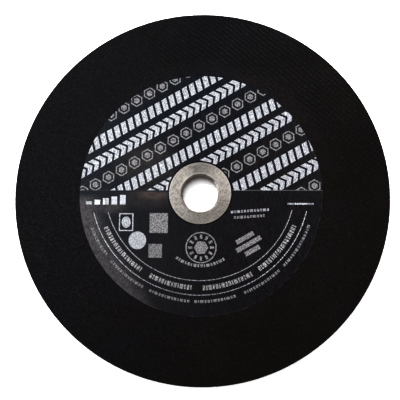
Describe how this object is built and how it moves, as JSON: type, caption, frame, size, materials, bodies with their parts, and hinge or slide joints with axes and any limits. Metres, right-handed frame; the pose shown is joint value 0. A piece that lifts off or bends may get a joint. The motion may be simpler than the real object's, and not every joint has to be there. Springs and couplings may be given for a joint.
{
  "type": "grinding disc",
  "caption": "Flat round resin-bonded grinding disc with a steel bore ring and a round printed paper label pressed into its face.",
  "frame": {"origin": "on the bore axis, in the back face, which is the lowest plane of the disc", "axes": "+Z along the bore axis towards the labelled face; +Y towards the patterned half of the label; +X to the right when the label is read"},
  "size_m": [0.23, 0.23, 0.0083],
  "materials": {
    "abrasive": "matte",
    "ring_steel": "satin",
    "label_paper": "satin",
    "white_ink": "matte",
    "grey_ink": "matte"
  },
  "bodies": {
    "root": {"abrasive_disc": "abrasive", "bore_ring": "ring_steel", "paper_label": "label_paper", "white_print": "white_ink", "grey_print": "grey_ink"}
  },
  "joints": []
}
